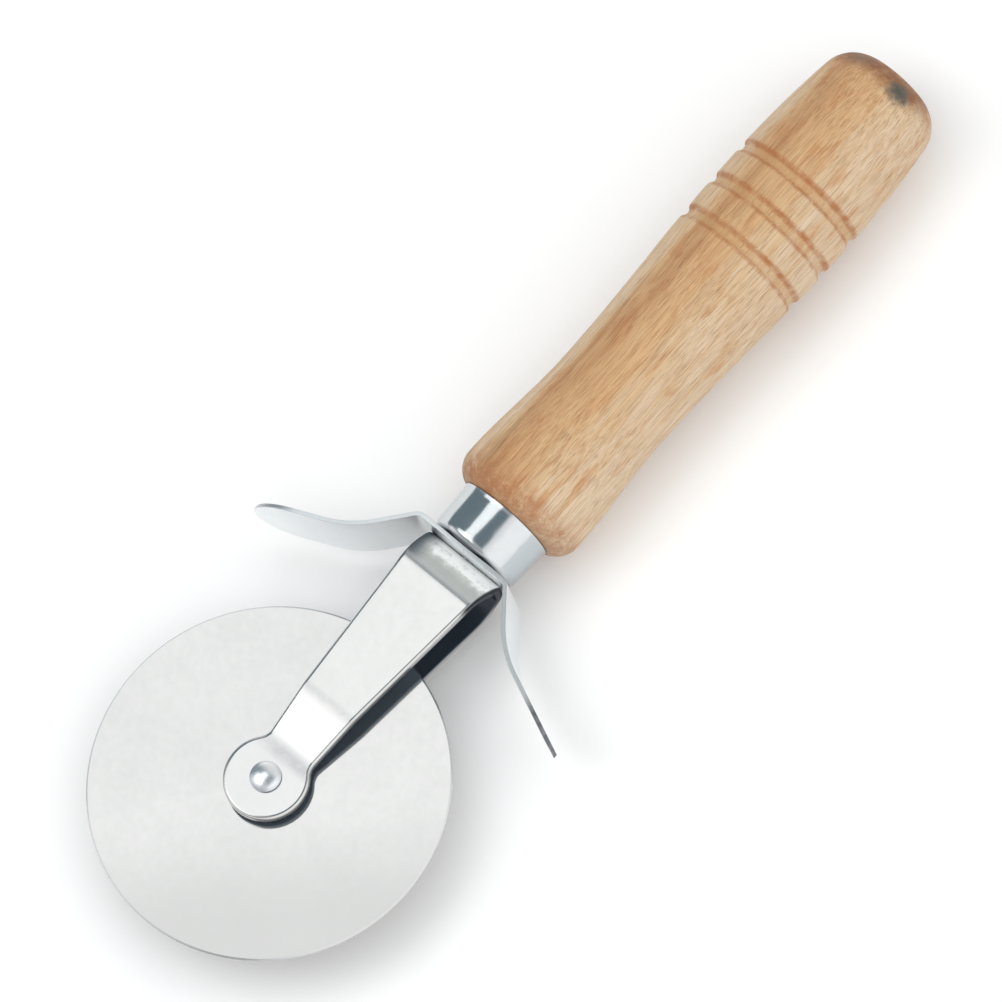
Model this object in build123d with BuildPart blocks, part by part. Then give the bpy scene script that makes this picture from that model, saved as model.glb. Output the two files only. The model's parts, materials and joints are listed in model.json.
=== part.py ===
"""Pizza cutter: a round blade in a bent steel fork, a finger guard, a ferrule and a turned handle.

Millimetres. The cutter lies on its side: +X runs from the blade to the butt of the handle,
+Z is the blade's axle, and z = 0 is the table under the handle.
"""
import os
from math import sqrt

from build123d import *

os.makedirs("parts", exist_ok=True)

# Cutting wheel
wheel_d = 64.0
wheel_t = 0.8
wheel_edge_w = 0.3
wheel_edge_t = 0.3

# Axle: rivet, sleeve and the two spacers beside the wheel
rivet_d = 3.2
rivet_head_rim = 1.2
rivet_head_h = 1.3
rivet_head_side = 0.4
rivet_clearance = 0.05
sleeve_wall = 0.85
spacer_rim = 3.0
spacer_t = 1.25
running_clearance = 0.06
side_play = 0.1

# Fork: one strip bent to a U, with tapered arms and round ears
fork_t = 1.7
fork_gap = 15.5
fork_ear_d = 15.2
fork_ear_bend_x = 6.6
fork_knee_x = 16.8
fork_knee_z = 5.5
fork_shoulder_z = 6.1
fork_knee_r = 6.0
fork_shoulder_run = 4.75
fork_shoulder_r = 7.0
fork_crown_z = 2.15
fork_crown_r = 3.2
fork_arm_w = 9.0
fork_web_w = 16.8
fork_neck_r = 3.0
fork_outer_edge_r = 0.6
fork_inner_edge_r = 0.2

# Finger guard: one strip with two wings, each bent down and then flared out
guard_t = 0.8
guard_w = 14.4
guard_overhang = 0.6
guard_bend_r = 2.5
guard_bend_angle = 50.0
guard_leg = 6.7
guard_flare_r = 20.0
guard_flare_angle = 27.0
guard_tip_leg = 13.5
guard_edge_r = 0.15

# Tang: headed pin that holds fork, guard, ferrule and handle together
tang_d = 4.0
tang_head_rim = 1.0
tang_head_h = 2.4
tang_head_r = 0.4
tang_depth = 38.0
tang_tip = 1.0
tang_clearance = 0.05

# Ferrule: drawn cup, a little wider at the handle, with a flared lip
ferrule_len = 9.5
ferrule_guard_d = 17.2
ferrule_handle_d = 17.9
ferrule_wall = 0.7
ferrule_corner_r = 1.8
ferrule_flare = 0.3
ferrule_flare_run = 1.2
ferrule_lip_r = 0.25

# Handle: turned wood with a rounded foot, a waist, a grooved swell and a rounded butt
handle_len = 102.8
handle_foot_step = 3.55
handle_foot_r = 4.6
handle_seat = 0.15
handle_waist_d = 22.5
handle_waist_x = 28.0
handle_swell_d = 25.6
handle_swell_run = 28.8
handle_butt_flat = 8.0
handle_butt_r = 6.6
handle_butt_slope = 0.16
groove_count = 3
groove_lead = 13.1
groove_pitch = 7.5
groove_depth = 0.6
groove_r = 1.5
groove_lip_r = 0.4
tenon_clearance = 0.05

# Diameters that follow from what they fit
sleeve_d = rivet_d + 2 * (rivet_clearance + sleeve_wall)
spacer_d = sleeve_d + 2 * spacer_rim
rivet_head_d = rivet_d + 2 * rivet_head_rim
tang_head_d = tang_d + 2 * tang_head_rim
ferrule_lip_d = ferrule_handle_d + 2 * ferrule_flare
handle_foot_d = ferrule_handle_d + 2 * handle_foot_step
handle_butt_d = handle_butt_flat + 2 * handle_butt_r

# Places along the cutter, measured from the axle
wheel_r = wheel_d / 2
tang_x = wheel_r + fork_gap
fork_reach = tang_x + tang_head_h + fork_t
guard_x = fork_reach + guard_t
tenon_x = guard_x + ferrule_wall
handle_x = guard_x + ferrule_len
flare_x = handle_x - ferrule_flare_run
butt_x = handle_x + handle_len
overall_len = wheel_r + butt_x

# Stack on the axle, measured from the blade's middle plane
ear_in = wheel_t / 2 + side_play + spacer_t
ear_out = ear_in + fork_t

# Base planes through the axle: the blade's plane, the upright plane along the handle, and across it
axle_z = max(handle_foot_d, handle_swell_d) / 2
axle_at = (wheel_r - overall_len / 2, 0, axle_z)
blade_plane = Plane(origin=axle_at, x_dir=(1, 0, 0), z_dir=(0, 0, 1))
side_plane = Plane(origin=axle_at, x_dir=(1, 0, 0), z_dir=(0, -1, 0))
cross_plane = Plane(origin=axle_at, x_dir=(0, 1, 0), z_dir=(1, 0, 0))
axle = Axis(axle_at, (0, 0, 1))
long_axis = Axis(axle_at, (1, 0, 0))

# Cutting wheel, ground from both sides to a narrow land at the rim
with BuildPart() as cutting_wheel:
    with BuildSketch(side_plane):
        with BuildLine():
            Polyline(
                (sleeve_d / 2 + running_clearance, 0),
                (sleeve_d / 2 + running_clearance, wheel_t / 2),
                (wheel_r - wheel_edge_w, wheel_t / 2),
                (wheel_r, wheel_edge_t / 2),
                (wheel_r, 0),
            )
            mirror(about=Plane.XZ)
        make_face()
    revolve(axis=axle)

# Axle sleeve, held between the ears
with BuildPart() as axle_sleeve:
    with BuildSketch(blade_plane):
        Circle(sleeve_d / 2)
        Circle(rivet_d / 2 + rivet_clearance, mode=Mode.SUBTRACT)
    extrude(amount=ear_in, both=True)

# Spacers, tight on the sleeve and against the ears
with BuildPart() as front_spacer:
    with BuildSketch(blade_plane.offset(ear_in - spacer_t)):
        Circle(spacer_d / 2)
        Circle(sleeve_d / 2, mode=Mode.SUBTRACT)
    extrude(amount=spacer_t)

with BuildPart() as rear_spacer:
    mirror(front_spacer.part, about=blade_plane)

# Rivet with a low dome at each end
with BuildPart() as axle_rivet:
    with BuildSketch(side_plane):
        with BuildLine():
            dome_foot = (rivet_head_d / 2, ear_out + rivet_head_side)
            dome_top = (0, ear_out + rivet_head_h)
            dome_rise = rivet_head_h - rivet_head_side
            dome_r = ((rivet_head_d / 2) ** 2 + dome_rise**2) / (2 * dome_rise)
            Polyline((0, 0), (rivet_d / 2, 0), (rivet_d / 2, ear_out), (rivet_head_d / 2, ear_out), dome_foot)
            RadiusArc(dome_foot, dome_top, -dome_r)
            Line(dome_top, (0, 0))
        make_face()
        mirror(about=Plane.XZ)
    revolve(axis=axle)

# Fork's side view: the outside of the bent strip, from ear to ear
front_arm = [
    (-fork_ear_d / 2, ear_out),
    (fork_ear_bend_x, ear_out),
    (fork_knee_x, fork_knee_z),
    (fork_reach - fork_shoulder_run, fork_shoulder_z),
    (fork_reach, fork_crown_z),
]
rear_arm = [(x, -z) for x, z in reversed(front_arm)]
front_bends = [fork_knee_r, fork_knee_r, fork_shoulder_r, fork_crown_r]
with BuildLine() as fork_side:
    FilletPolyline(*front_arm, *rear_arm, radius=front_bends + front_bends[::-1])


def depth_in_strip(edge):
    """How far an edge of the fork lies below the outside of the bent strip."""
    place = side_plane.to_local_coords(edge.center())
    return fork_side.line.distance_to(Vector(place.X, place.Y, 0))


# Fork: the strip, cut to its tapered outline with round ears, its outer edges well rounded
with BuildPart() as fork:
    with BuildSketch(side_plane):
        with BuildLine():
            add(fork_side.line)
            offset(amount=fork_t, side=Side.RIGHT)
        make_face()
    extrude(amount=fork_web_w / 2, both=True)
    with BuildSketch(blade_plane) as fork_outline:
        Circle(fork_ear_d / 2)
        with BuildLine():
            Polyline(
                (0, fork_arm_w / 2),
                (fork_reach, fork_web_w / 2),
                (fork_reach + fork_t, fork_web_w / 2),
                (fork_reach + fork_t, -fork_web_w / 2),
                (fork_reach, -fork_web_w / 2),
                (0, -fork_arm_w / 2),
                close=True,
            )
        make_face()
        fillet(fork_outline.vertices().sort_by(Axis.X)[:2], radius=fork_neck_r)
    extrude(amount=2 * fork_shoulder_z, both=True, mode=Mode.INTERSECT)
    inner_edges = fork.edges().filter_by(lambda edge: depth_in_strip(edge) > 0.75 * fork_t)
    fillet(inner_edges, radius=fork_inner_edge_r)
    outer_edges = fork.edges().filter_by(lambda edge: depth_in_strip(edge) < 0.01 * fork_t)
    fillet(outer_edges, radius=fork_outer_edge_r)
    with BuildSketch(blade_plane):
        Circle(rivet_d / 2 + rivet_clearance)
    extrude(amount=2 * ear_out, both=True, mode=Mode.SUBTRACT)
    with BuildSketch(cross_plane.offset(fork_reach)):
        Circle(tang_d / 2 + tang_clearance)
    extrude(amount=2 * fork_t, both=True, mode=Mode.SUBTRACT)

# Finger guard: half of the strip's edge view, mirrored, with round tips and eased edges
with BuildPart() as finger_guard:
    with BuildSketch(blade_plane):
        with BuildLine():
            web = Line((guard_x, 0), (guard_x, fork_web_w / 2 + guard_overhang))
            bend = JernArc(web @ 1, web % 1, guard_bend_r, guard_bend_angle)
            leg = Line(bend @ 1, bend @ 1 + (bend % 1) * guard_leg)
            flare = JernArc(leg @ 1, leg % 1, guard_flare_r, -guard_flare_angle)
            Line(flare @ 1, flare @ 1 + (flare % 1) * guard_tip_leg)
            offset(amount=guard_t, side=Side.LEFT)
        make_face()
        mirror(about=Plane.XZ)
    extrude(amount=guard_w / 2, both=True)
    guard_reach = finger_guard.part.bounding_box().max.Y
    with BuildSketch(cross_plane):
        SlotOverall(2 * guard_reach, guard_w)
    extrude(amount=guard_x, both=True, mode=Mode.INTERSECT)
    fillet(finger_guard.edges(), radius=guard_edge_r)
    with BuildSketch(cross_plane.offset(guard_x)):
        Circle(tang_d / 2 + tang_clearance)
    extrude(amount=2 * guard_t, both=True, mode=Mode.SUBTRACT)

# Tang: its head fills the bend of the fork, and its point is in the wood
with BuildPart() as tang:
    with BuildSketch(cross_plane.offset(tang_x)):
        Circle(tang_head_d / 2)
    extrude(amount=tang_head_h)
    fillet(tang.edges().group_by(Axis.X)[0], radius=tang_head_r)
    with BuildSketch(side_plane):
        with BuildLine():
            fork_inside = offset(fork_side.line, amount=fork_t, side=Side.RIGHT, closed=False)
            Line(fork_inside @ 0, fork_inside @ 1)
        make_face()
    extrude(amount=tang_head_d, both=True, mode=Mode.INTERSECT)
    with BuildSketch(cross_plane.offset(tang_x)):
        Circle(tang_d / 2)
    extrude(amount=handle_x + tang_depth - tang_x)
    chamfer(tang.edges().sort_by(Axis.X)[-1], length=tang_tip)

# Ferrule: cup with a hole in its floor for the tang
with BuildPart() as ferrule:
    with BuildSketch(side_plane):
        with BuildLine():
            floor_hole_r = tang_d / 2 + tang_clearance
            outer_wall = Line((guard_x, ferrule_guard_d / 2), (flare_x, ferrule_handle_d / 2))
            inner_wall = Line(
                (tenon_x, ferrule_guard_d / 2 - ferrule_wall),
                (flare_x, ferrule_handle_d / 2 - ferrule_wall),
            )
            outer_lip = TangentArc(outer_wall @ 1, (handle_x, ferrule_lip_d / 2), tangent=outer_wall % 1)
            inner_lip = TangentArc(
                inner_wall @ 1, (handle_x, ferrule_lip_d / 2 - ferrule_wall), tangent=inner_wall % 1
            )
            Line(outer_lip @ 1, inner_lip @ 1)
            Polyline(
                inner_wall @ 0,
                (tenon_x, floor_hole_r),
                (guard_x, floor_hole_r),
                outer_wall @ 0,
            )
        make_face()
    revolve(axis=long_axis)
    floor_rims = ferrule.edges().filter_by(GeomType.CIRCLE).group_by(Axis.X)[0]
    fillet(floor_rims.sort_by(SortBy.RADIUS)[-1], radius=ferrule_corner_r)
    lip_rims = ferrule.edges().filter_by(GeomType.CIRCLE).group_by(Axis.X)[-1]
    fillet(lip_rims.sort_by(SortBy.RADIUS)[-1], radius=ferrule_lip_r)

# Handle: tenon in the ferrule, rounded foot, waist, swell and butt, with grooves turned at the swell
swell_x = butt_x - handle_swell_run
foot_seat_r = ferrule_lip_d / 2 + handle_seat
foot_drop = foot_seat_r - (handle_foot_d / 2 - handle_foot_r)
foot_x = handle_x + sqrt(handle_foot_r**2 - foot_drop**2)
groove_places = [swell_x - groove_lead + i * groove_pitch for i in range(groove_count)]
with BuildPart() as handle:
    with BuildSketch(side_plane):
        with BuildLine():
            Polyline(
                (butt_x, handle_butt_d / 2),
                (butt_x, 0),
                (tenon_x, 0),
                (tenon_x, ferrule_guard_d / 2 - ferrule_wall - tenon_clearance),
                (handle_x, ferrule_handle_d / 2 - ferrule_wall - tenon_clearance),
                (handle_x, foot_seat_r),
            )
            RadiusArc((handle_x, foot_seat_r), (foot_x, handle_foot_d / 2), handle_foot_r)
            outline = Spline(
                (foot_x, handle_foot_d / 2),
                (handle_x + handle_waist_x, handle_waist_d / 2),
                (swell_x, handle_swell_d / 2),
                (butt_x, handle_butt_d / 2),
                tangents=[(1, 0), (1, 0), (1, 0), (1, -handle_butt_slope)],
            )
        make_face()
        for groove_x in groove_places:
            surface = outline.intersect(Axis((groove_x, 0, 0), (0, 1, 0)))[0]
            with Locations((groove_x, surface.Y - groove_depth + groove_r)):
                Circle(groove_r, mode=Mode.SUBTRACT)
    revolve(axis=long_axis)
    fillet(handle.edges().filter_by(GeomType.CIRCLE).sort_by(Axis.X)[-1], radius=handle_butt_r)
    first_lip = axle_at[0] + groove_places[0] - groove_r
    last_lip = axle_at[0] + groove_places[-1] + groove_r
    groove_rims = handle.edges().filter_by(GeomType.CIRCLE).filter_by_position(Axis.X, first_lip, last_lip)
    fillet(groove_rims.filter_by(lambda rim: rim.radius > groove_r), radius=groove_lip_r)
    with BuildSketch(cross_plane.offset(tenon_x)):
        Circle(tang_d / 2 + tang_clearance)
    extrude(amount=handle_x + tang_depth - tenon_x, mode=Mode.SUBTRACT)

pieces = {
    "cutting_wheel": cutting_wheel,
    "axle_rivet": axle_rivet,
    "axle_sleeve": axle_sleeve,
    "front_spacer": front_spacer,
    "rear_spacer": rear_spacer,
    "fork": fork,
    "finger_guard": finger_guard,
    "tang": tang,
    "ferrule": ferrule,
    "handle": handle,
}
for name, piece in pieces.items():
    piece.part.label = name
    export_step(piece.part, f"parts/{name}.step")
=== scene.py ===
"""Pizza cutter: looks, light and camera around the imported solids. Metres, in the solids' own frame."""
import json
from math import pi, radians

import bpy
import numpy as np
from mathutils import Matrix, Vector


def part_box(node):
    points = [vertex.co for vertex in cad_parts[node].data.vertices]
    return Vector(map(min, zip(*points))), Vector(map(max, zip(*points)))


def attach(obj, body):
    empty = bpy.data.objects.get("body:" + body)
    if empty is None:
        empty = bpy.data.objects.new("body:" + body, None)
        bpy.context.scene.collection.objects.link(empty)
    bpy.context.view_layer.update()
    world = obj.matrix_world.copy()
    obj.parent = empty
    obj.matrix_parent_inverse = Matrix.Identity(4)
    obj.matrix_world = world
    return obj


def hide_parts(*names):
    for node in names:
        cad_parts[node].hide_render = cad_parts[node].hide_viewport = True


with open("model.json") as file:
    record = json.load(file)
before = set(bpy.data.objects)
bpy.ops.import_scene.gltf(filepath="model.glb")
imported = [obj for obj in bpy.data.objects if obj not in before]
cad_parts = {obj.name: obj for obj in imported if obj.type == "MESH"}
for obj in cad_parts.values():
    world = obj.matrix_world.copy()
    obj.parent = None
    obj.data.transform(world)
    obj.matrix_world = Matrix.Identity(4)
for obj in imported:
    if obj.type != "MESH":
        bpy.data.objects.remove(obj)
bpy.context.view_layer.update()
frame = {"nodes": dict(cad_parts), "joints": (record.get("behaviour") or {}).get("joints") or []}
MM = 0.001


def streaks(length, width):
    """The size of patches that are long along x and fine across it."""
    return (length, width, width)


# Places read from the frame
AXLE = Vector(frame["joints"][0]["pos_m"])
AXIS_Z = AXLE.z
TENON_END_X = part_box("handle")[0].x
FOOT_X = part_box("ferrule")[1].x
BUTT_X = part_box("handle")[1].x
BLADE_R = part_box("cutting_wheel")[1].y
GUARD_TIP_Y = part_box("finger_guard")[1].y
GUARD_HALF_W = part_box("finger_guard")[1].z - AXIS_Z
CROWN_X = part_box("fork")[1].x - AXLE.x
CROWN_HALF_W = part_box("fork")[1].y

# Camera: where it stands, seen from the axle, how the picture is turned, and how far it sees
CAMERA_DISTANCE = 2.5
CAMERA_BACK = Vector((-0.11916, -0.32553, 0.93799))
CAMERA_UP = Vector((0.73985, 0.60091, 0.30254))
CAMERA_REACH = 20.0
IMAGE_SIZE = 1002
AXLE_PIXEL = (269.23, 783.10)
PIXELS_PER_METRE = 5810.66
SENSOR_MM = 36.0

# Floor: half its side, and the size of its faint patches
FLOOR_HALF = 3.0
PAPER_PATCH = 60 * MM

# Steel: sizes of its clouds, smears, scratches and waves, and fine lines along one axis
CLOUD = 14 * MM
WIDE_CLOUD = 45 * MM
SMEAR = 1.6 * MM
SCRATCH = streaks(25 * MM, 4 * MM)
WAVE = 4 * MM
ALONG_X = streaks(40 * MM, 0.12 * MM)
ALONG_Y = (0.12 * MM, 20 * MM, 0.12 * MM)
ALONG_Z = (0.2 * MM, 0.2 * MM, 8 * MM)

# Blade: its ground edge, and the run of x plus y, seen from the axle, over which painted shade darkens it
GROUND_EDGE = 0.35 * MM
EDGE_SOFT = 0.05 * MM
SHADE_FROM = -6 * MM
SHADE_TO = -36 * MM

# Fork, seen from the axle: creases of its arms, depth of its crown, and where its painted shade and
# highlights start and end
EAR_BEND_X = 6.6 * MM
KNEE_X = 16.8 * MM
CROWN_RUN = 8.0 * MM
EAR_START = (EAR_BEND_X, EAR_BEND_X - 1 * MM)
SLOPE_START = (EAR_BEND_X - 1 * MM, EAR_BEND_X + 1.5 * MM)
SLOPE_END = (KNEE_X - 0.5 * MM, KNEE_X - 3 * MM)
EAR_SHADE_X = EAR_BEND_X - 1.6 * MM
EAR_SHADE_SIDE = (5 * MM, 0.0)
KNEE_SHADE_X = KNEE_X - 0.3 * MM
CROWN_START = (CROWN_X - CROWN_RUN, CROWN_X - 0.8 * CROWN_RUN)
CROWN_CORNER = (0.45 * CROWN_HALF_W, 0.95 * CROWN_HALF_W)
INNER_CROWN_START = (KNEE_X, CROWN_X - CROWN_RUN)
CUT_EDGE_START = (CROWN_X - 1.2 * CROWN_RUN, CROWN_X - 0.9 * CROWN_RUN)
CUT_EDGE_LOW = (-5 * MM, -2 * MM)
UPPER_ARM = (-0.1 * MM, 0.1 * MM)

# Guard: where its wings start, and where their round tips do
WING_ROOT_Y = 8 * MM
TIP_START = (GUARD_TIP_Y - 1.3 * GUARD_HALF_W, GUARD_TIP_Y - 0.7 * GUARD_HALF_W)

# Turned handle: how finely its surface is divided, and which bends in it stay sharp
RING_STEP = 0.15 * MM
AROUND = 192
SHARP_EDGE = radians(40)

# Turned handle: how the points of its solid are told apart, and where its grooves are
PLACE_DIGITS = 6
POINT_GAP = 0.08 * MM
OUTSIDE_BORE = 1.5
GROOVE_COUNT = 3
GROOVE_LIP = 1.2 * MM
SWELL_START_X = 45 * MM
SWELL_END_X = 80 * MM

# Turned handle: how far it strays from a true circle, and the chips on the lips of its grooves
OUT_OF_ROUND = 0.05 * MM
OVAL_TWIST = 40 * MM
LOBE_TWIST = 25 * MM
TOOL_MARK = 0.006 * MM
TOOL_PITCH = 0.9 * MM
TOOL_DRIFT = 7 * MM
LIP_CHIP = 0.09 * MM
CHIP_LENGTH = 0.25 * MM
CHIP_WIDTHS = (0.02, 0.09)
CHIP_DEPTHS = (0.2, 1.0)
CHIPS_PER_LIP = 9
CHIP_SEED = 11

# Wood: sizes of its patches
LAYERS = streaks(150 * MM, 2.2 * MM)
WANDER = streaks(70 * MM, 8 * MM)
SMOKE = streaks(50 * MM, 1.8 * MM)
LINES = streaks(45 * MM, 0.8 * MM)
FIBRES = streaks(14 * MM, 0.2 * MM)
BLOTCHES = streaks(9 * MM, 2.6 * MM)
PORES = streaks(4.5 * MM, 0.17 * MM)
SPECKS = streaks(4 * MM, 0.3 * MM)
WOBBLE = 2.5 * MM
MOTTLE = 1.8 * MM

# Wood: way across its layers, how far they wander, brown side with painted shade, painted rim light, dark
# band, smoke, end rings
GRAIN_ACROSS = Vector((0, 0.9446, 0.3282))
WANDER_REACH = 8 * MM
BROWN_RISE = (-8 * MM, 7 * MM)
RIM_LIGHT_FADE = (11.8 * MM, 7.6 * MM)
DARK_BAND_ACROSS = 7.4 * MM
SMOKE_FADE = 12 * MM
RING_PITCH = 1.7 * MM

# Wood: where its stains start and end, how ragged they are, and its knot
FOOT_STAIN = (FOOT_X + 6.5 * MM, FOOT_X + 1.5 * MM)
FOOT_RAGGED = -7 * MM
FOOT_SIDE = (-9 * MM, 9 * MM)
BUTT_STAIN = (BUTT_X - 5.8 * MM, BUTT_X - 2.2 * MM)
BUTT_RAGGED = 5 * MM
BUTT_SIDE = (-10.5 * MM, -6.5 * MM)
GROOVE_RAGGED = 0.4 * MM
KNOT_FROM_BUTT = Vector((-3.3, -5.05, 9.4)) * MM
SMUDGE_FROM_BUTT = Vector((-2.2, 4.5, 7.8)) * MM
KNOT_R = 2.2 * MM
KNOT_RAGGED = 3.0 * MM


class Nodes:
    """A node tree, made with short calls. An input is a socket or a plain value."""

    def __init__(self, tree):
        self.tree = tree

    def feed(self, socket, value):
        if isinstance(value, bpy.types.NodeSocket):
            self.tree.links.new(value, socket)
        elif socket.type == "RGBA":
            socket.default_value = (*value, 1)
        else:
            socket.default_value = value

    def node(self, kind, *inputs, settings=(), **named):
        """A new node. Its inputs are given in order or by name."""
        new = self.tree.nodes.new(kind)
        for key, value in dict(settings).items():
            setattr(new, key, value)
        for key, value in [*enumerate(inputs), *named.items()]:
            self.feed(new.inputs[key], value)
        return new

    def vector(self, operation, *inputs):
        out = self.node("ShaderNodeVectorMath", *inputs, settings={"operation": operation}).outputs
        return out["Value"] if operation in ("DOT_PRODUCT", "LENGTH", "DISTANCE") else out["Vector"]

    def math(self, operation, *inputs):
        return self.node("ShaderNodeMath", *inputs, settings={"operation": operation}).outputs[0]

    def absolute(self, value):
        return self.math("ABSOLUTE", value)

    def times(self, first, *others):
        for other in others:
            first = self.math("MULTIPLY", first, other)
        return first

    def plus(self, first, *others):
        for other in others:
            first = self.math("ADD", first, other)
        return first

    def parts(self, vector):
        """The x, y and z of a vector."""
        return self.node("ShaderNodeSeparateXYZ", vector).outputs

    def step(self, value, start, end, low=0.0, high=1.0):
        """Runs smoothly from low to high while the value goes from start to end."""
        settings = {"interpolation_type": "SMOOTHSTEP"}
        return self.node("ShaderNodeMapRange", value, start, end, low, high, settings=settings).outputs[0]

    def band(self, value, middle, half, soft):
        """One inside the band, zero outside it."""
        away = self.absolute(self.math("SUBTRACT", value, middle))
        return self.step(away, half + soft, half)

    def ramp(self, value, *stops):
        """A colour that follows the value. Each stop is a value and its colour."""
        node = self.node("ShaderNodeValToRGB", value)
        elements = node.color_ramp.elements
        while len(elements) < len(stops):
            elements.new(0.5)
        for element, (at, colour) in zip(elements, stops):
            element.position = at
            element.color = (*colour, 1)
        return node.outputs["Color"]

    def mix(self, share, a, b):
        """Colour a where the share is zero, b where it is one."""
        node = self.node("ShaderNodeMix", settings={"data_type": "RGBA"})
        share_in, a_in, b_in = node.inputs[0], node.inputs[6], node.inputs[7]
        for socket, value in ((share_in, share), (a_in, a), (b_in, b)):
            self.feed(socket, value)
        return node.outputs[2]


class Shader(Nodes):
    """A material with one surface. Places are metres from a given point, in the piece's own frame."""

    def __init__(self, name, at=(0, 0, 0)):
        self.material = bpy.data.materials.new(name)
        self.material.use_nodes = True
        super().__init__(self.material.node_tree)
        self.surface = self.tree.nodes["Principled BSDF"]
        coords = self.node("ShaderNodeTexCoord").outputs
        self.place = self.vector("SUBTRACT", coords["Object"], tuple(at))
        self.x, self.y, self.z = self.parts(self.place)
        self.facing = self.parts(coords["Normal"])

    def noise(self, size, detail=2.0, rough=0.5, bend=0.0):
        """Noise from 0 to 1. Size is how large its patches are, in metres, or that along x, y and z."""
        sizes = size if isinstance(size, tuple) else (size, size, size)
        scaled = self.vector("MULTIPLY", self.place, tuple(1 / each for each in sizes))
        inputs = {"Scale": 1.0, "Detail": detail, "Roughness": rough, "Distortion": bend}
        return self.node("ShaderNodeTexNoise", Vector=scaled, **inputs).outputs["Fac"]

    def swing(self, noise, width):
        """A noise as a swing about zero, half the width to each side."""
        return self.times(self.plus(noise, -0.5), width)

    def stain(self, share, colour):
        """Gives a share of the surface another colour."""
        self.colour = self.mix(share, self.colour, colour)

    def bump(self, height, depth):
        """Height of 0 to 1 as a relief that is depth metres high."""
        return self.node("ShaderNodeBump", Strength=1.0, Distance=depth, Height=height)

    def finish(self, **inputs):
        """Feeds the surface's inputs, with _ for each space in their names, and gives the material."""
        for key, value in inputs.items():
            self.feed(self.surface.inputs[key.replace("_", " ")], value)
        return self.material


class Steel(Shader):
    """Sheet steel: faint clouds, fine rolling lines, a few hairline scratches and smeared patches."""

    def __init__(self, name, light, dark, rough, lines):
        super().__init__(name, AXLE)
        self.cloud = self.noise(CLOUD, detail=3.0, rough=0.6)
        self.smear = self.noise(SMEAR, detail=4.0, rough=0.65)
        wide = self.noise(WIDE_CLOUD, detail=1.0)
        hair = self.band(self.noise(SCRATCH, detail=0.0, bend=0.3), middle=0.5, half=0.0003, soft=0.001)
        scratch = self.times(hair, self.step(self.cloud, 0.5, 0.62))
        tone = self.plus(self.times(self.cloud, 0.35), self.times(self.smear, 0.3), self.times(wide, 0.35))
        dark_tone, light_tone = 0.35, 0.65
        self.colour = self.ramp(tone, (dark_tone, dark), (light_tone, light))
        self.stain(self.times(scratch, 0.06), (0.3, 0.3, 0.3))
        satin = self.step(tone, dark_tone, light_tone, rough * 1.12, rough * 0.9)
        self.roughness = self.plus(satin, self.times(scratch, 0.05))
        self.height = self.noise(lines)
        self.matte = 0.0

    def tint(self, share, colour, rough=0.0, matte=0.0):
        """Gives a share of the surface another colour, and makes it rougher and more matte."""
        self.stain(share, colour)
        self.roughness = self.plus(self.roughness, self.times(share, rough))
        self.matte = self.plus(self.matte, self.times(share, matte))

    def done(self, depth, wave=0.0):
        """The material, with lines that are depth metres deep, and waves under them where it has any."""
        relief = self.bump(self.height, depth)
        if wave:
            waves = self.bump(self.noise(WAVE, detail=1.0), wave)
            self.feed(relief.inputs["Normal"], waves.outputs["Normal"])
        metal = self.math("SUBTRACT", 1.0, self.matte)
        normal = relief.outputs["Normal"]
        return self.finish(Base_Color=self.colour, Metallic=metal, Roughness=self.roughness, Normal=normal)


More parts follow.
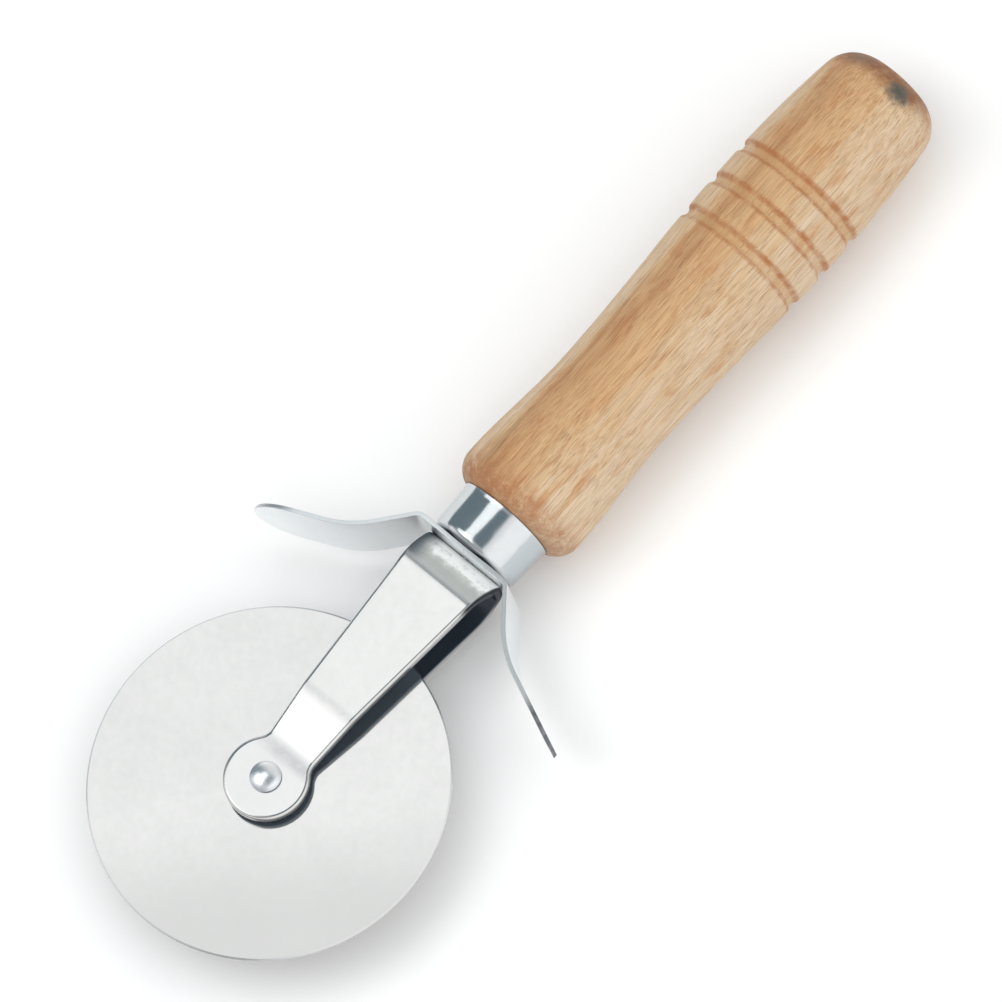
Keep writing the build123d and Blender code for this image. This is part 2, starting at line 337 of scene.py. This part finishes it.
class Wood(Shader):
    """Pale turned hardwood. Its noises run along the handle, and across counts through its layers."""

    def __init__(self, name):
        super().__init__(name, (0, 0, AXIS_Z))
        from_axis = self.vector("DOT_PRODUCT", self.place, tuple(GRAIN_ACROSS))
        self.across = self.plus(from_axis, self.swing(self.noise(WANDER), WANDER_REACH))
        self.fibres = self.noise(FIBRES, rough=0.6)
        self.pores = self.step(self.noise(PORES, detail=1.0, rough=0.4), 0.56, 0.68)
        self.blotch = self.noise(BLOTCHES, detail=3.0, rough=0.6)
        self.mottle = self.noise(MOTTLE, detail=4.0, rough=0.65)

    def darken(self, share, factors):
        """Darkens a share of the colour by a factor for each of its parts."""
        self.stain(share, self.vector("MULTIPLY", self.colour, factors))

    def grain(self, smoke_end):
        """Pale to brown by layers, lines and painted shade on one side with a painted pale rim light, then
        blotches, smoky streaks, a darker band, fibres and pores.
        """
        # the brown side is partly the wood's own brown and partly painted shade; near the edge it fades into
        # a painted pale rim light
        brown_and_shaded_side = self.times(
            self.step(self.across, *BROWN_RISE),
            self.step(self.across, *RIM_LIGHT_FADE, 0.1, 1.0),
        )
        layers = self.noise(LAYERS, detail=3.0, rough=0.55)
        lines = self.noise(LINES, detail=3.0, rough=0.6)
        tone = self.plus(self.times(brown_and_shaded_side, 0.45), self.times(layers, 0.3), self.swing(lines, 0.6))
        tone = self.plus(tone, self.swing(self.blotch, 0.3))
        self.colour = self.ramp(
            tone,
            (0.08, (0.635, 0.49, 0.34)),
            (0.28, (0.585, 0.412, 0.245)),
            (0.5, (0.57, 0.352, 0.178)),
            (0.72, (0.51, 0.29, 0.142)),
            (0.95, (0.365, 0.195, 0.1)),
        )
        self.stain(self.step(self.blotch, 0.53, 0.72, 0.0, 0.6), (0.5, 0.245, 0.105))
        smoke = self.step(self.noise(SMOKE), 0.52, 0.68)
        smoky = self.times(brown_and_shaded_side, smoke, self.step(self.x, smoke_end, smoke_end - SMOKE_FADE))
        self.darken(self.times(smoky, 0.6), (0.62, 0.54, 0.5))
        # a darker, patchy band along the brown side
        dark_band = self.band(self.across, middle=DARK_BAND_ACROSS, half=0.5 * MM, soft=1.8 * MM)
        dark_band = self.times(dark_band, self.step(self.blotch, 0.3, 0.6, 0.4, 1.0))
        self.darken(self.times(dark_band, 0.6), (0.8, 0.74, 0.7))
        self.darken(self.step(self.fibres, 0.43, 0.62, 0.0, 0.5), (0.7, 0.6, 0.52))
        self.darken(self.times(self.pores, 0.6), (0.62, 0.5, 0.42))

    def scorch(self, groove_first, groove_pitch):
        """Brown hollows and burnt lips at the grooves, uneven round the handle."""
        half = groove_pitch / 2
        middle, reach = half * (GROOVE_COUNT - 1), half * GROOVE_COUNT
        wobble = self.swing(self.noise(WOBBLE), GROOVE_RAGGED)
        from_first = self.plus(self.x, -groove_first, wobble)
        from_groove = self.math("WRAP", from_first, half, -half)
        grooved = self.band(from_first, middle=middle, half=reach, soft=0.01 * MM)
        upper = self.band(from_groove, middle=0.85 * GROOVE_LIP, half=0.15 * MM, soft=0.7 * MM)
        lower = self.band(from_groove, middle=-GROOVE_LIP, half=0.1 * MM, soft=0.5 * MM)
        hollow = self.band(from_groove, middle=0.0, half=0.6 * MM, soft=0.6 * MM)
        patches = self.plus(self.times(self.blotch, 0.6), self.times(self.mottle, 0.4))
        uneven = self.step(patches, 0.36, 0.6, 0.25, 1.0)
        self.stain(self.times(grooved, hollow, uneven, 0.6), (0.5, 0.275, 0.115))
        lips = self.math("MAXIMUM", upper, self.times(lower, 0.8))
        self.stain(self.times(grooved, uneven, lips, 0.9), (0.37, 0.14, 0.045))

    def stain_ends(self):
        """Ragged brown at the foot and dark brown round the butt, each stronger on one side."""
        foot_x = self.plus(self.x, self.swing(self.blotch, FOOT_RAGGED))
        foot = self.times(
            self.step(foot_x, *FOOT_STAIN),
            self.step(self.across, *FOOT_SIDE, 0.6, 0.85),
            self.step(self.mottle, 0.32, 0.6, 0.3, 1.0),
        )
        self.stain(foot, (0.34, 0.135, 0.055))
        butt_x = self.plus(self.x, self.swing(self.blotch, BUTT_RAGGED))
        butt = self.times(
            self.step(butt_x, *BUTT_STAIN),
            self.step(self.y, *BUTT_SIDE, 0.2, 1.0),
            self.step(self.mottle, 0.3, 0.55, 0.65, 1.0),
        )
        self.stain(butt, (0.23, 0.09, 0.034))

    def end_grain(self):
        """Rings and specks on the flat of the butt."""
        flat = self.step(self.facing["X"], 0.75, 0.95)
        rings = self.step(self.math("SINE", self.times(self.across, 2 * pi / RING_PITCH)), -0.6, 1.0)
        specks = self.step(self.noise(SPECKS, detail=1.0), 0.5, 0.66)
        self.stain(self.times(flat, 0.45), (0.42, 0.22, 0.1))
        self.darken(self.times(flat, rings, 0.55), (0.62, 0.5, 0.42))
        self.darken(self.times(flat, specks, 0.6), (0.5, 0.4, 0.34))

    def knot(self):
        """A dark knot and a fainter smudge at the edge of the butt."""
        butt = Vector((BUTT_X, 0, 0))
        ragged = self.swing(self.mottle, KNOT_RAGGED)
        dark = self.ramp(self.mottle, (0.35, (0.05, 0.055, 0.05)), (0.65, (0.12, 0.105, 0.08)))
        from_knot = self.plus(self.vector("DISTANCE", self.place, tuple(butt + KNOT_FROM_BUTT)), ragged)
        self.stain(self.step(from_knot, KNOT_R * 1.5, KNOT_R * 0.4, 0.0, 0.95), dark)
        from_smudge = self.plus(self.vector("DISTANCE", self.place, tuple(butt + SMUDGE_FROM_BUTT)), ragged)
        self.stain(self.step(from_smudge, KNOT_R * 1.8, KNOT_R * 0.3, 0.0, 0.6), (0.2, 0.13, 0.09))

    def done(self, depth):
        """The material, with fibres and pores as a relief that is depth metres high."""
        height = self.plus(self.times(self.fibres, 0.5), self.times(self.pores, -1.0))
        normal = self.bump(height, depth).outputs["Normal"]
        roughness = self.step(self.fibres, 0.3, 0.7, 0.5, 0.64)
        return self.finish(
            Base_Color=self.colour,
            Roughness=roughness,
            Normal=normal,
            Specular_IOR_Level=0.35,
        )


def blade_steel():
    """Satin sheet with painted shade that darkens one side, and a paler ground edge."""
    s = Steel("blade_steel", (0.595, 0.585, 0.575), (0.525, 0.518, 0.51), rough=0.09, lines=ALONG_X)
    # painted shade: the sheet darkens towards one side
    s.tint(s.step(s.plus(s.x, s.y), SHADE_FROM, SHADE_TO, 0.0, 0.8), (0.465, 0.458, 0.45))
    rim = BLADE_R - GROUND_EDGE
    from_axle = s.vector("LENGTH", s.vector("MULTIPLY", s.place, (1, 1, 0)))
    ground = s.step(from_axle, rim - EDGE_SOFT, rim + EDGE_SOFT, 0.0, 0.6)
    s.tint(ground, (0.62, 0.62, 0.63), rough=0.2)
    return s.done(depth=0.0006 * MM)


def paint_arm_light_and_shade(s, outside):
    """Painted highlight on the slope between ear and knee, a darker painted tone on the ear, and patchy
    painted shade at each bend.
    """
    # painted highlight on the slope between ear and knee
    slope = s.times(s.step(s.x, *SLOPE_START), s.step(s.x, *SLOPE_END))
    s.tint(s.times(outside, slope, 0.8), (0.675, 0.67, 0.665))
    # a darker painted tone on the ear
    ear = s.step(s.x, *EAR_START)
    s.tint(s.times(outside, ear, 0.8), (0.612, 0.607, 0.602))
    # patchy painted shade in the bends at the knee and the ear, the ear's stronger on one side
    patchy_shade = s.step(s.smear, 0.3, 0.6, 0.5, 1.0)
    knee = s.band(s.x, middle=KNEE_SHADE_X, half=0.1 * MM, soft=1.4 * MM)
    s.tint(s.times(outside, patchy_shade, knee, 0.5), (0.4, 0.4, 0.41))
    ear_bend = s.band(s.x, middle=EAR_SHADE_X, half=0.3 * MM, soft=1.8 * MM)
    one_side = s.step(s.y, *EAR_SHADE_SIDE, 0.5, 1.0)
    s.tint(s.times(outside, patchy_shade, ear_bend, one_side, 0.68), (0.38, 0.38, 0.39))


def paint_crown_light_and_shade(s):
    """Painted grey shade on the crown's bends, mottled and painted bright towards the top, rougher and more
    matte, and a painted shadow in one corner.
    """
    bent = s.times(s.step(s.x, *CROWN_START), s.step(s.facing["X"], 0.05, 0.3))
    # painted light: grey to white by how the bend faces, mottled by noise
    crown_light = s.plus(s.facing["X"], s.times(s.smear, 0.3), s.times(s.cloud, 0.1), -0.2)
    shades = s.ramp(
        crown_light,
        (0.1, (0.43, 0.445, 0.45)),
        (0.25, (0.395, 0.41, 0.405)),
        (0.42, (0.42, 0.43, 0.415)),
        (0.55, (0.55, 0.56, 0.54)),
        (0.65, (1.0, 1.0, 0.98)),
    )
    s.tint(bent, shades, rough=0.3, matte=0.85)
    # painted shadow in one corner of the crown
    s.tint(s.times(bent, s.step(s.y, *CROWN_CORNER)), (0.06, 0.08, 0.1))


def shade_inside(s, outward):
    """Painted shade: dark inside the fork and on the crown's cut edges, and bluish dark on the inside of the
    upper arm.
    """
    # painted shade on the faces inside the fork, on the crown's cut edges and on the upper arm's inside
    inner_crown = s.times(s.step(s.facing["X"], -0.2, -0.6), s.step(s.x, *INNER_CROWN_START))
    inside = s.math("MAXIMUM", s.step(outward, 0.1, -0.3), inner_crown)
    s.tint(s.times(inside, 0.9), (0.085, 0.105, 0.13), rough=0.2)
    sideways = s.step(s.absolute(s.facing["Y"]), 0.3, 0.7)
    cut_edge = s.times(sideways, s.step(s.x, *CUT_EDGE_START), s.step(s.z, *CUT_EDGE_LOW))
    s.tint(s.times(cut_edge, 0.95), (0.03, 0.04, 0.05), rough=0.2)
    upper_arm = s.times(s.step(outward, -0.6, -0.9), s.step(s.z, *UPPER_ARM))
    s.tint(s.times(upper_arm, 0.9), (0.4, 0.5, 0.62), matte=0.7)


def fork_steel():
    """Satin strip with creased arms and a crown that carry painted highlights and shade, and painted shade
    inside.
    """
    s = Steel("fork_steel", (0.628, 0.617, 0.606), (0.584, 0.578, 0.568), rough=0.18, lines=ALONG_X)
    outward = s.times(s.facing["Z"], s.math("SIGN", s.z))
    paint_arm_light_and_shade(s, s.step(outward, 0.3, 0.6))
    paint_crown_light_and_shade(s)
    shade_inside(s, outward)
    return s.done(depth=0.0012 * MM)


def guard_steel():
    """Pale satin strip with grey cut edges, with painted shade making them greyer on one wing and darker
    round the tips.
    """
    s = Steel("guard_steel", (0.93, 0.955, 0.965), (0.87, 0.9, 0.915), rough=0.32, lines=ALONG_Y)
    tip = s.step(s.absolute(s.y), *TIP_START)
    round_tip = s.times(tip, s.step(s.absolute(s.facing["X"]), 0.8, 0.6))
    edge = s.math("MAXIMUM", s.step(s.absolute(s.facing["Z"]), 0.25, 0.5), round_tip)
    # grey cut edges, with painted shade making them greyer on one wing
    grey = s.times(edge, s.step(s.y, -WING_ROOT_Y, WING_ROOT_Y, 1.0, 0.45))
    s.tint(grey, (0.53, 0.55, 0.555), rough=0.15)
    # patchy painted shade darkening round the tips
    s.tint(s.times(grey, tip, s.step(s.smear, 0.3, 0.65, 1.0, 0.7)), (0.14, 0.145, 0.165), rough=0.1)
    return s.done(depth=0.0003 * MM)


def ferrule_chrome():
    """Bright drawn cup, a little wavy, with painted shade at its sides and a painted shadow on its closed
    end.
    """
    s = Steel("ferrule_chrome", (0.64, 0.66, 0.67), (0.58, 0.605, 0.62), rough=0.15, lines=ALONG_X)
    # painted shade on the sides of the cup
    s.tint(s.step(s.absolute(s.facing["Y"]), 0.7, 0.97, 0.0, 0.6), (0.4, 0.45, 0.48))
    # painted shadow on the closed end, beside the guard
    s.tint(s.step(s.facing["X"], -0.45, -0.85, 0.0, 0.8), (0.05, 0.06, 0.075), rough=0.2)
    return s.done(depth=0.0006 * MM, wave=0.1 * MM)


def rivet_steel():
    """Bright dome with painted shade round its rim."""
    s = Steel("rivet_steel", (0.93, 0.94, 0.96), (0.86, 0.87, 0.9), rough=0.26, lines=ALONG_Z)
    # painted shade round the rim of the dome
    s.tint(s.step(s.absolute(s.facing["Z"]), 0.9, 0.8, 0.0, 0.75), (0.34, 0.38, 0.43), rough=0.1)
    return s.done(depth=0.0008 * MM)


def axle_steel():
    """Bare turned steel, dull and dark."""
    s = Steel("axle_steel", (0.26, 0.27, 0.28), (0.2, 0.21, 0.22), rough=0.35, lines=ALONG_Z)
    return s.done(depth=0.002 * MM)


def handle_wood(groove_first, groove_pitch):
    """Pale turned hardwood with scorched grooves, stained ends and a knot."""
    s = Wood("handle_wood")
    s.grain(smoke_end=groove_first)
    s.scorch(groove_first, groove_pitch)
    s.stain_ends()
    s.end_grain()
    s.knot()
    return s.done(depth=0.02 * MM)


def outer_profile(along, radius):
    """The handle's outline from foot to butt: places and the outermost radius there, none crowded."""
    shown = along > FOOT_X - POINT_GAP / 2
    along, radius = along[shown], radius[shown]
    points = [(place, radius[along == place].max()) for place in np.unique(along)]
    kept = [points[0]]
    for point in points[1:-1]:
        if np.hypot(point[0] - kept[-1][0], point[1] - kept[-1][1]) >= POINT_GAP:
            kept.append(point)
    return np.array([*kept, points[-1]]).T


def grooves(places, radii):
    """Where the grooves are deepest: the lowest places of the profile in the swell."""
    inside = (places > SWELL_START_X) & (places < SWELL_END_X)
    x, r = places[inside], radii[inside]
    low = [i for i in range(1, len(x) - 1) if r[i] < r[i - 1] and r[i] <= r[i + 1]]
    deepest = sorted(low, key=lambda i: r[i])[:GROOVE_COUNT]
    return sorted(float(x[i]) for i in deepest)


def rounded(places, radii):
    """The outline in even small steps, with smooth runs between its points that never swing past them."""
    steps = np.hypot(np.diff(places), np.diff(radii))
    run = np.concatenate(([0], np.cumsum(steps)))
    at = np.linspace(0, run[-1], round(run[-1] / RING_STEP) + 1)
    i = np.clip(np.searchsorted(run, at, side="right") - 1, 0, len(run) - 2)
    gap = run[i + 1] - run[i]
    t = (at - run[i]) / gap
    before, after = steps[:-1], steps[1:]

    def curve(values):
        """Cubic runs. Their slope is level where the values turn round, and else a mean of both sides."""
        rise = np.diff(values) / steps
        slope = np.concatenate((rise[:1], np.zeros(len(rise) - 1), rise[-1:]))
        same = np.flatnonzero(rise[:-1] * rise[1:] > 0)
        near, far = before[same] + 2 * after[same], 2 * before[same] + after[same]
        slope[same + 1] = (near + far) / (near / rise[same] + far / rise[same + 1])
        start = (2 * t**3 - 3 * t**2 + 1) * values[i] + (t**3 - 2 * t**2 + t) * gap * slope[i]
        end = (3 * t**2 - 2 * t**3) * values[i + 1] + (t**3 - t**2) * gap * slope[i + 1]
        return start + end

    return curve(places), curve(radii)


def strays(x, angle, groove_places):
    """How far the turned surface lies off its outline: out of round, tool marks and chipped lips."""
    lobes = 0.6 * np.cos(2 * angle + x / OVAL_TWIST) + 0.4 * np.cos(3 * angle - x / LOBE_TWIST)
    marks = np.sin(2 * pi * x / TOOL_PITCH + 3 * np.sin(x / TOOL_DRIFT))
    out = OUT_OF_ROUND * lobes + TOOL_MARK * marks
    chips = np.random.default_rng(CHIP_SEED)
    lowest, highest = zip((0, 2 * pi), CHIP_WIDTHS, CHIP_DEPTHS)
    for place in groove_places:
        for lip in (place - GROOVE_LIP, place + GROOVE_LIP):
            for _ in range(CHIPS_PER_LIP):
                middle, width, depth = chips.uniform(lowest, highest)
                aside = (angle - middle + pi) % (2 * pi) - pi
                out = out - LIP_CHIP * depth * np.exp(-((x - lip) / CHIP_LENGTH) ** 2 - (aside / width) ** 2)
    return out


def turned(rings):
    """A closed surface through rings of points, with a point on the axis at each end."""
    count, around, _ = rings.shape
    first, last = rings[0].mean(axis=0), rings[-1].mean(axis=0)
    points = np.vstack([rings.reshape(-1, 3), first, last])
    first_at, last_at = count * around, count * around + 1
    faces = []
    for j in range(around):
        k = (j + 1) % around
        faces.append((first_at, k, j))
        for ring in range(0, (count - 1) * around, around):
            faces.append((ring + j, ring + k, ring + around + k, ring + around + j))
        end = (count - 1) * around
        faces.append((end + j, end + k, last_at))
    mesh = bpy.data.meshes.new("turned_handle")
    mesh.from_pydata(points.tolist(), [], faces)
    mesh.shade_smooth()
    mesh.set_sharp_from_angle(angle=SHARP_EDGE)
    return mesh


def add(name, data):
    """A new object in the scene."""
    new = bpy.data.objects.new(name, data)
    bpy.context.scene.collection.objects.link(new)
    return new


def handle():
    """The turned handle with its tenon and the hole for the tang, in place of the plain solid."""
    points = np.array([v.co for v in frame["nodes"]["handle"].data.vertices])
    along = np.round(points[:, 0], PLACE_DIGITS)
    radius = np.hypot(points[:, 1], points[:, 2] - AXIS_Z)
    bore = radius.min()
    bore_end = along[radius < bore + POINT_GAP].max()
    outside = radius > OUTSIDE_BORE * bore
    along, radius = along[outside], radius[outside]
    tenon_end = radius[along < TENON_END_X + POINT_GAP].max()
    tenon_root = radius[np.abs(along - FOOT_X) < POINT_GAP].min()
    hidden = [(bore_end, bore), (TENON_END_X, bore), (TENON_END_X, tenon_end), (FOOT_X, tenon_root)]

    places, radii = outer_profile(along, radius)
    groove_places = grooves(places, radii)
    x, r = rounded(places, radii)
    x = np.concatenate([[point[0] for point in hidden], x])
    r = np.concatenate([[point[1] for point in hidden], r])
    angle = np.linspace(0, 2 * pi, AROUND, endpoint=False)
    out = strays(x[:, None], angle[None, :], groove_places)
    out[: len(hidden)] = 0
    distance = r[:, None] + out
    rings = np.empty((len(x), AROUND, 3))
    rings[:, :, 0] = x[:, None]
    rings[:, :, 1] = distance * np.cos(angle)
    rings[:, :, 2] = AXIS_Z + distance * np.sin(angle)

    mesh = turned(rings)
    pitch = (groove_places[-1] - groove_places[0]) / (GROOVE_COUNT - 1)
    mesh.materials.append(handle_wood(groove_places[0], pitch))
    piece = add("turned_handle", mesh)
    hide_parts("handle")
    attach(piece, "cutter_body")


def give(material, *nodes):
    """Gives the material to solids that keep their shape."""
    for node in nodes:
        slots = frame["nodes"][node].data.materials
        slots.clear()
        slots.append(material)


def camera():
    """Looks down past the axle, and aims at what is in the middle of the picture."""
    back = CAMERA_BACK.normalized()
    right = CAMERA_UP.cross(back).normalized()
    up = back.cross(right)
    place = AXLE + back * CAMERA_DISTANCE
    middle = IMAGE_SIZE / 2
    aside = (middle - AXLE_PIXEL[0]) / PIXELS_PER_METRE
    above = (AXLE_PIXEL[1] - middle) / PIXELS_PER_METRE
    aim = AXLE + right * aside + up * above
    new_back = (place - aim).normalized()
    new_right = up.cross(new_back).normalized()
    new_up = new_back.cross(new_right)
    data = bpy.data.cameras.new("camera")
    data.sensor_width = SENSOR_MM
    data.lens = PIXELS_PER_METRE * CAMERA_DISTANCE * SENSOR_MM / IMAGE_SIZE
    data.clip_end = CAMERA_REACH
    cam = add("camera", data)
    turn = Matrix((new_right, new_up, new_back)).transposed()
    cam.matrix_world = Matrix.Translation(place) @ turn.to_4x4()
    bpy.context.scene.camera = cam


def floor():
    """Pale paper with faint patches."""
    half = FLOOR_HALF
    corners = [(-half, -half, 0), (half, -half, 0), (half, half, 0), (-half, half, 0)]
    mesh = bpy.data.meshes.new("floor")
    mesh.from_pydata(corners, [], [(0, 1, 2, 3)])
    s = Shader("floor_paper")
    paper = s.noise(PAPER_PATCH, detail=3.0)
    colour = s.ramp(paper, (0.3, (0.9, 0.895, 0.89)), (0.7, (0.92, 0.915, 0.91)))
    mesh.materials.append(s.finish(Base_Color=colour, Roughness=0.9, Specular_IOR_Level=0.1))
    obj = add("floor", mesh)


def softbox(name, middle, width, height, radiance, mirrored=True):
    """A glowing rectangle that faces down. Radiance is its brightness in a mirror."""
    data = bpy.data.lights.new(name, "AREA")
    data.shape = "RECTANGLE"
    data.size = width
    data.size_y = height
    strongest = max(radiance)
    data.color = tuple(v / strongest for v in radiance)
    data.energy = strongest * pi * width * height
    lamp = add(name, data)
    lamp.location = middle
    lamp.visible_camera = False
    lamp.visible_glossy = mirrored


def lamps():
    """Two bright boxes overhead that the metal mirrors, and a wide soft fill that it doesn't."""
    softbox("top_box", (-0.3, 0.35, 1.0), width=1.1, height=0.5, radiance=(1.27, 1.25, 1.23))
    softbox("left_box", (-0.55, 0.9, 1.01), width=0.9, height=0.8, radiance=(1.1, 1.1, 1.1))
    softbox("fill", (0, 0.1, 1.5), width=2.0, height=2.0, radiance=(0.97, 0.975, 0.985), mirrored=False)


def sky():
    """Slate overhead between paler ends, a bright near wall, and a bright horizon except on the far side."""
    slate, butt_end, blade_end = (0.19, 0.25, 0.28), (0.75, 0.76, 0.74), (0.52, 0.54, 0.55)
    white, near_wall, near_low = (1.15, 1.15, 1.15), (1.08, 1.08, 1.08), (1.3, 1.3, 1.3)
    world = bpy.data.worlds.new("studio")
    world.use_nodes = True
    s = Nodes(world.node_tree)
    ways = s.parts(s.node("ShaderNodeTexCoord").outputs["Generated"])
    colour = s.mix(s.step(ways["X"], 0.25, 0.6), slate, butt_end)
    colour = s.mix(s.step(ways["X"], -0.12, -0.42), colour, blade_end)
    horizon = s.times(s.step(ways["Z"], 0.4, 0.27), s.step(ways["Y"], 0.94, 0.84))
    colour = s.mix(horizon, colour, white)
    colour = s.mix(s.step(ways["Y"], -0.34, -0.48), colour, near_wall)
    colour = s.mix(s.step(ways["Y"], -0.5, -0.7), colour, near_low)
    s.feed(world.node_tree.nodes["Background"].inputs["Color"], colour)
    bpy.context.scene.world = world


camera()
floor()
lamps()
sky()
handle()
give(blade_steel(), "cutting_wheel")
give(rivet_steel(), "axle_rivet")
give(fork_steel(), "fork")
give(guard_steel(), "finger_guard")
give(ferrule_chrome(), "ferrule")
give(axle_steel(), "axle_sleeve", "front_spacer", "rear_spacer", "tang")
bpy.context.scene.view_settings.view_transform = "Standard"
